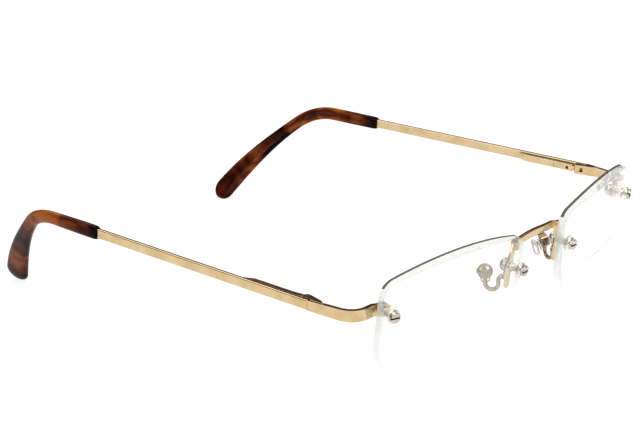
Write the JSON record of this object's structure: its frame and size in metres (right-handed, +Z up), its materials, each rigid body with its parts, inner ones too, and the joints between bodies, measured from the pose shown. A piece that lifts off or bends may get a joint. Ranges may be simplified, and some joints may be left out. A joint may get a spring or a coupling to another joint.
{
  "type": "bifocal reading glasses",
  "caption": "Rimless bifocal reading glasses with moulded reading segments, spring hinges, adjustable nose pads and curved temple tips.",
  "frame": {"origin": "middle of the bounding box at its base, on the table under the lens edges and the temple tips", "axes": "+X towards the wearer's left, +Y from the lenses back to the ears along the temples, +Z up"},
  "size_m": [0.1356, 0.1454, 0.0306],
  "materials": {
    "lens": "polished clear lens plastic with frosted edges",
    "gold_metal": "polished pale gold plating",
    "silver_steel": "bright turned steel",
    "clear_plastic": "clear washers and bushings",
    "clear_silicone": "clear soft silicone",
    "tortoise_tip": "polished mottled brown and amber"
  },
  "bodies": {
    "front": {"lens_right": "lens", "lens_left": "lens", "bridge": "gold_metal", "lens_screws": "silver_steel", "screw_washers": "silver_steel", "front_washers": "clear_plastic", "lens_bushings": "clear_plastic", "rear_washers": "clear_plastic", "lens_nuts": "silver_steel", "pad_arm_right": "gold_metal", "pad_arm_left": "gold_metal", "pad_screw_right": "silver_steel", "pad_screw_left": "silver_steel", "endpiece_right": "gold_metal", "endpiece_left": "gold_metal"},
    "nose_pad_body_right": {"nose_pad_right": "clear_silicone", "pad_tang_right": "silver_steel"},
    "hinge_screw_body_right": {"hinge_screw_right": "silver_steel"},
    "slider_body_right": {"hinge_slider_right": "silver_steel"},
    "temple_body_right": {"temple_right": "gold_metal", "temple_tip_right": "tortoise_tip", "spring_housing_right": "gold_metal", "stop_bush_right": "silver_steel", "stop_pin_right": "silver_steel", "hinge_spring_right": "silver_steel"},
    "nose_pad_body_left": {"nose_pad_left": "clear_silicone", "pad_tang_left": "silver_steel"},
    "hinge_screw_body_left": {"hinge_screw_left": "silver_steel"},
    "slider_body_left": {"hinge_slider_left": "silver_steel"},
    "temple_body_left": {"temple_left": "gold_metal", "temple_tip_left": "tortoise_tip", "spring_housing_left": "gold_metal", "stop_bush_left": "silver_steel", "stop_pin_left": "silver_steel", "hinge_spring_left": "silver_steel"}
  },
  "joints": [
    {"name": "pad_rock_right", "type": "hinge", "parent": "front", "child": "nose_pad_body_right", "pos_m": [-0.01431, -0.0616, 0.01756], "axis": [0.515, -0.8572, 0], "range_deg": [-6, 6]},
    {"name": "temple_fold_right", "type": "hinge", "parent": "front", "child": "hinge_screw_body_right", "pos_m": [-0.06537, -0.04406, 0.02181], "axis": [-0.004, -0.0674, 0.9977], "range_deg": [-82, 0]},
    {"name": "spring_flex_right", "type": "hinge", "parent": "hinge_screw_body_right", "child": "slider_body_right", "pos_m": [-0.06537, -0.04406, 0.02181], "axis": [-0.004, -0.0674, 0.9977], "range_deg": [0, 10], "stiffness_Nm_per_rad": 0.3, "springref_deg": -2.86},
    {"name": "housing_slide_right", "type": "slide", "parent": "slider_body_right", "child": "temple_body_right", "axis": [0.0599, 0.9959, 0.0675], "range_m": [0, 0.00045], "deforming": ["hinge_spring_right"]},
    {"name": "pad_rock_left", "type": "hinge", "parent": "front", "child": "nose_pad_body_left", "pos_m": [0.01431, -0.0616, 0.01756], "axis": [-0.515, -0.8572, 0], "range_deg": [-6, 6]},
    {"name": "temple_fold_left", "type": "hinge", "parent": "front", "child": "hinge_screw_body_left", "pos_m": [0.06537, -0.04406, 0.02181], "axis": [0.004, -0.0674, 0.9977], "range_deg": [0, 86]},
    {"name": "spring_flex_left", "type": "hinge", "parent": "hinge_screw_body_left", "child": "slider_body_left", "pos_m": [0.06537, -0.04406, 0.02181], "axis": [0.004, -0.0674, 0.9977], "range_deg": [-10, 0], "stiffness_Nm_per_rad": 0.3, "springref_deg": 2.86},
    {"name": "housing_slide_left", "type": "slide", "parent": "slider_body_left", "child": "temple_body_left", "axis": [-0.0599, 0.9959, 0.0675], "range_m": [0, 0.00045], "deforming": ["hinge_spring_left"]}
  ],
  "couplings": [
    {"joint": "housing_slide_right", "follows": "spring_flex_right", "m_per_rad": 0.0023},
    {"joint": "housing_slide_left", "follows": "spring_flex_left", "m_per_rad": -0.0023}
  ]
}
